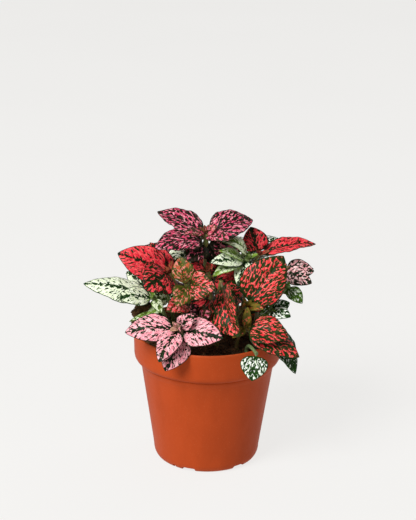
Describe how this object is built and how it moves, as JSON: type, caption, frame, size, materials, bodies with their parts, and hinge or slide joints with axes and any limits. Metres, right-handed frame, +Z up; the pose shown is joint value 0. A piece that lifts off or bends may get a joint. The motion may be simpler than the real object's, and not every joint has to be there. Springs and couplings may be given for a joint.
{
  "type": "potted polka dot plant",
  "caption": "Potted polka dot plant: spotted red, pink and white leafy shoots crowded in a tapered terracotta-coloured plastic nursery pot with a deep collar.",
  "frame": {"origin": "middle of the flat underside of the pot's floor, on the surface that the pot stands on", "axes": "+Z up along the pot's axis; the planting's front faces -Y"},
  "size_m": [0.1631, 0.1338, 0.1818],
  "materials": {
    "pot_plastic": "satin",
    "potting_soil": "matte",
    "deep_pink_leaf": "satin",
    "red_leaf": "satin",
    "white_leaf": "satin",
    "olive_leaf": "satin",
    "red_green_leaf": "satin",
    "light_pink_leaf": "satin",
    "white_green_leaf": "satin",
    "pale_pink_leaf": "satin"
  },
  "bodies": {
    "root": {"pot": "pot_plastic", "soil": "potting_soil", "shoot_deep_pink_top": "deep_pink_leaf", "shoot_red_left": "red_leaf", "shoot_white_left": "white_leaf", "shoot_white_middle": "white_leaf", "shoot_olive_young": "olive_leaf", "shoot_red_middle": "red_leaf", "shoot_white_centre": "white_leaf", "shoot_red_right": "red_leaf", "shoot_red_green_right": "red_green_leaf", "shoot_red_green_centre": "red_green_leaf", "shoot_light_pink": "light_pink_leaf", "shoot_shaded_pink": "deep_pink_leaf", "shoot_red_low_right": "red_green_leaf", "shoot_white_green_low": "white_green_leaf", "shoot_white_green_right": "white_green_leaf", "shoot_pale_pink_right": "pale_pink_leaf", "shoot_white_back_left": "white_leaf", "shoot_pink_back": "deep_pink_leaf", "shoot_red_back": "red_leaf", "shoot_white_green_back": "white_green_leaf", "shoot_white_green_side": "white_green_leaf"}
  },
  "joints": []
}
